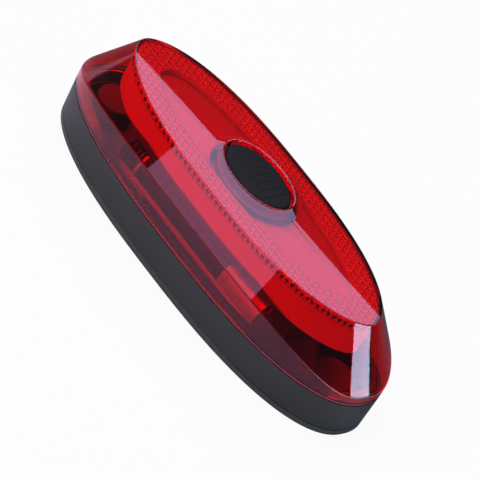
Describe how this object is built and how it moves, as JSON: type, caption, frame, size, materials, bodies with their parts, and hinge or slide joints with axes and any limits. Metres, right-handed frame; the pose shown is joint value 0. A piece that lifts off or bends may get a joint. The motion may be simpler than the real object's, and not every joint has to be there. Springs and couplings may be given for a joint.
{
  "type": "bicycle tail light",
  "caption": "Oval bicycle tail light: sloping red lens with a prism reflector, raised collar and black push button, on a black base with a bolt-on back.",
  "frame": {"origin": "middle of the flat back face", "axes": "+Z out through the lens, +X along the lamp, +Y towards the side with the pry slot"},
  "size_m": [0.1, 0.0348, 0.026],
  "materials": {
    "black_plastic": "fine matt moulded texture",
    "cover_plastic": "fine matt moulded texture",
    "cradle_plastic": "moulded, satin",
    "red_lens": "polished transparent acrylic",
    "red_reflex": "prism-backed transparent acrylic",
    "tray_plastic": "pale, reflective",
    "diffuser_plastic": "opal, satin",
    "board_laminate": "white solder mask",
    "lamp_epoxy": "clear tinted epoxy",
    "button_rubber": "satin moulded rubber",
    "gasket_rubber": "soft moulded ring",
    "switch_plastic": "moulded",
    "resistor_ceramic": "fired ceramic chip",
    "plated_contact": "nickel plated spring strip",
    "screw_steel": "zinc plated",
    "insert_brass": "turned",
    "cell_jacket": "plain printed jacket, no lettering"
  },
  "bodies": {
    "base": {"back_cover": "cover_plastic", "housing": "black_plastic", "cover_screws": "screw_steel", "mount_inserts": "insert_brass", "gasket": "gasket_rubber", "battery_cradle": "cradle_plastic", "battery_1": "cell_jacket", "battery_2": "cell_jacket", "battery_spring_1": "plated_contact", "battery_spring_2": "plated_contact", "bridge_contact": "plated_contact", "plus_contact": "plated_contact", "minus_contact": "plated_contact"},
    "lens_unit": {"lens": "red_lens", "reflex_plate": "red_reflex", "diffuser": "diffuser_plastic", "led_tray": "tray_plastic", "led_board": "board_laminate", "led_1": "lamp_epoxy", "led_2": "lamp_epoxy", "led_3": "lamp_epoxy", "led_4": "lamp_epoxy", "switch_body": "switch_plastic", "board_screws": "screw_steel", "driver_chip": "switch_plastic", "resistors": "resistor_ceramic", "board_pads": "plated_contact"},
    "button": {"button": "button_rubber"},
    "plunger": {"switch_plunger": "switch_plastic"}
  },
  "joints": [
    {"name": "lens_lift", "type": "slide", "parent": "base", "child": "lens_unit", "axis": [0, 0, 1], "range_m": [0, 0.03]},
    {"name": "button_press", "type": "slide", "parent": "lens_unit", "child": "button", "axis": [0, 0, -1], "range_m": [0, 0.0008], "stiffness_N_per_m": 2500},
    {"name": "plunger_press", "type": "slide", "parent": "lens_unit", "child": "plunger", "axis": [0, 0, -1], "range_m": [0, 0.0008]}
  ],
  "couplings": [
    {"joint": "plunger_press", "follows": "button_press", "ratio": 1}
  ]
}
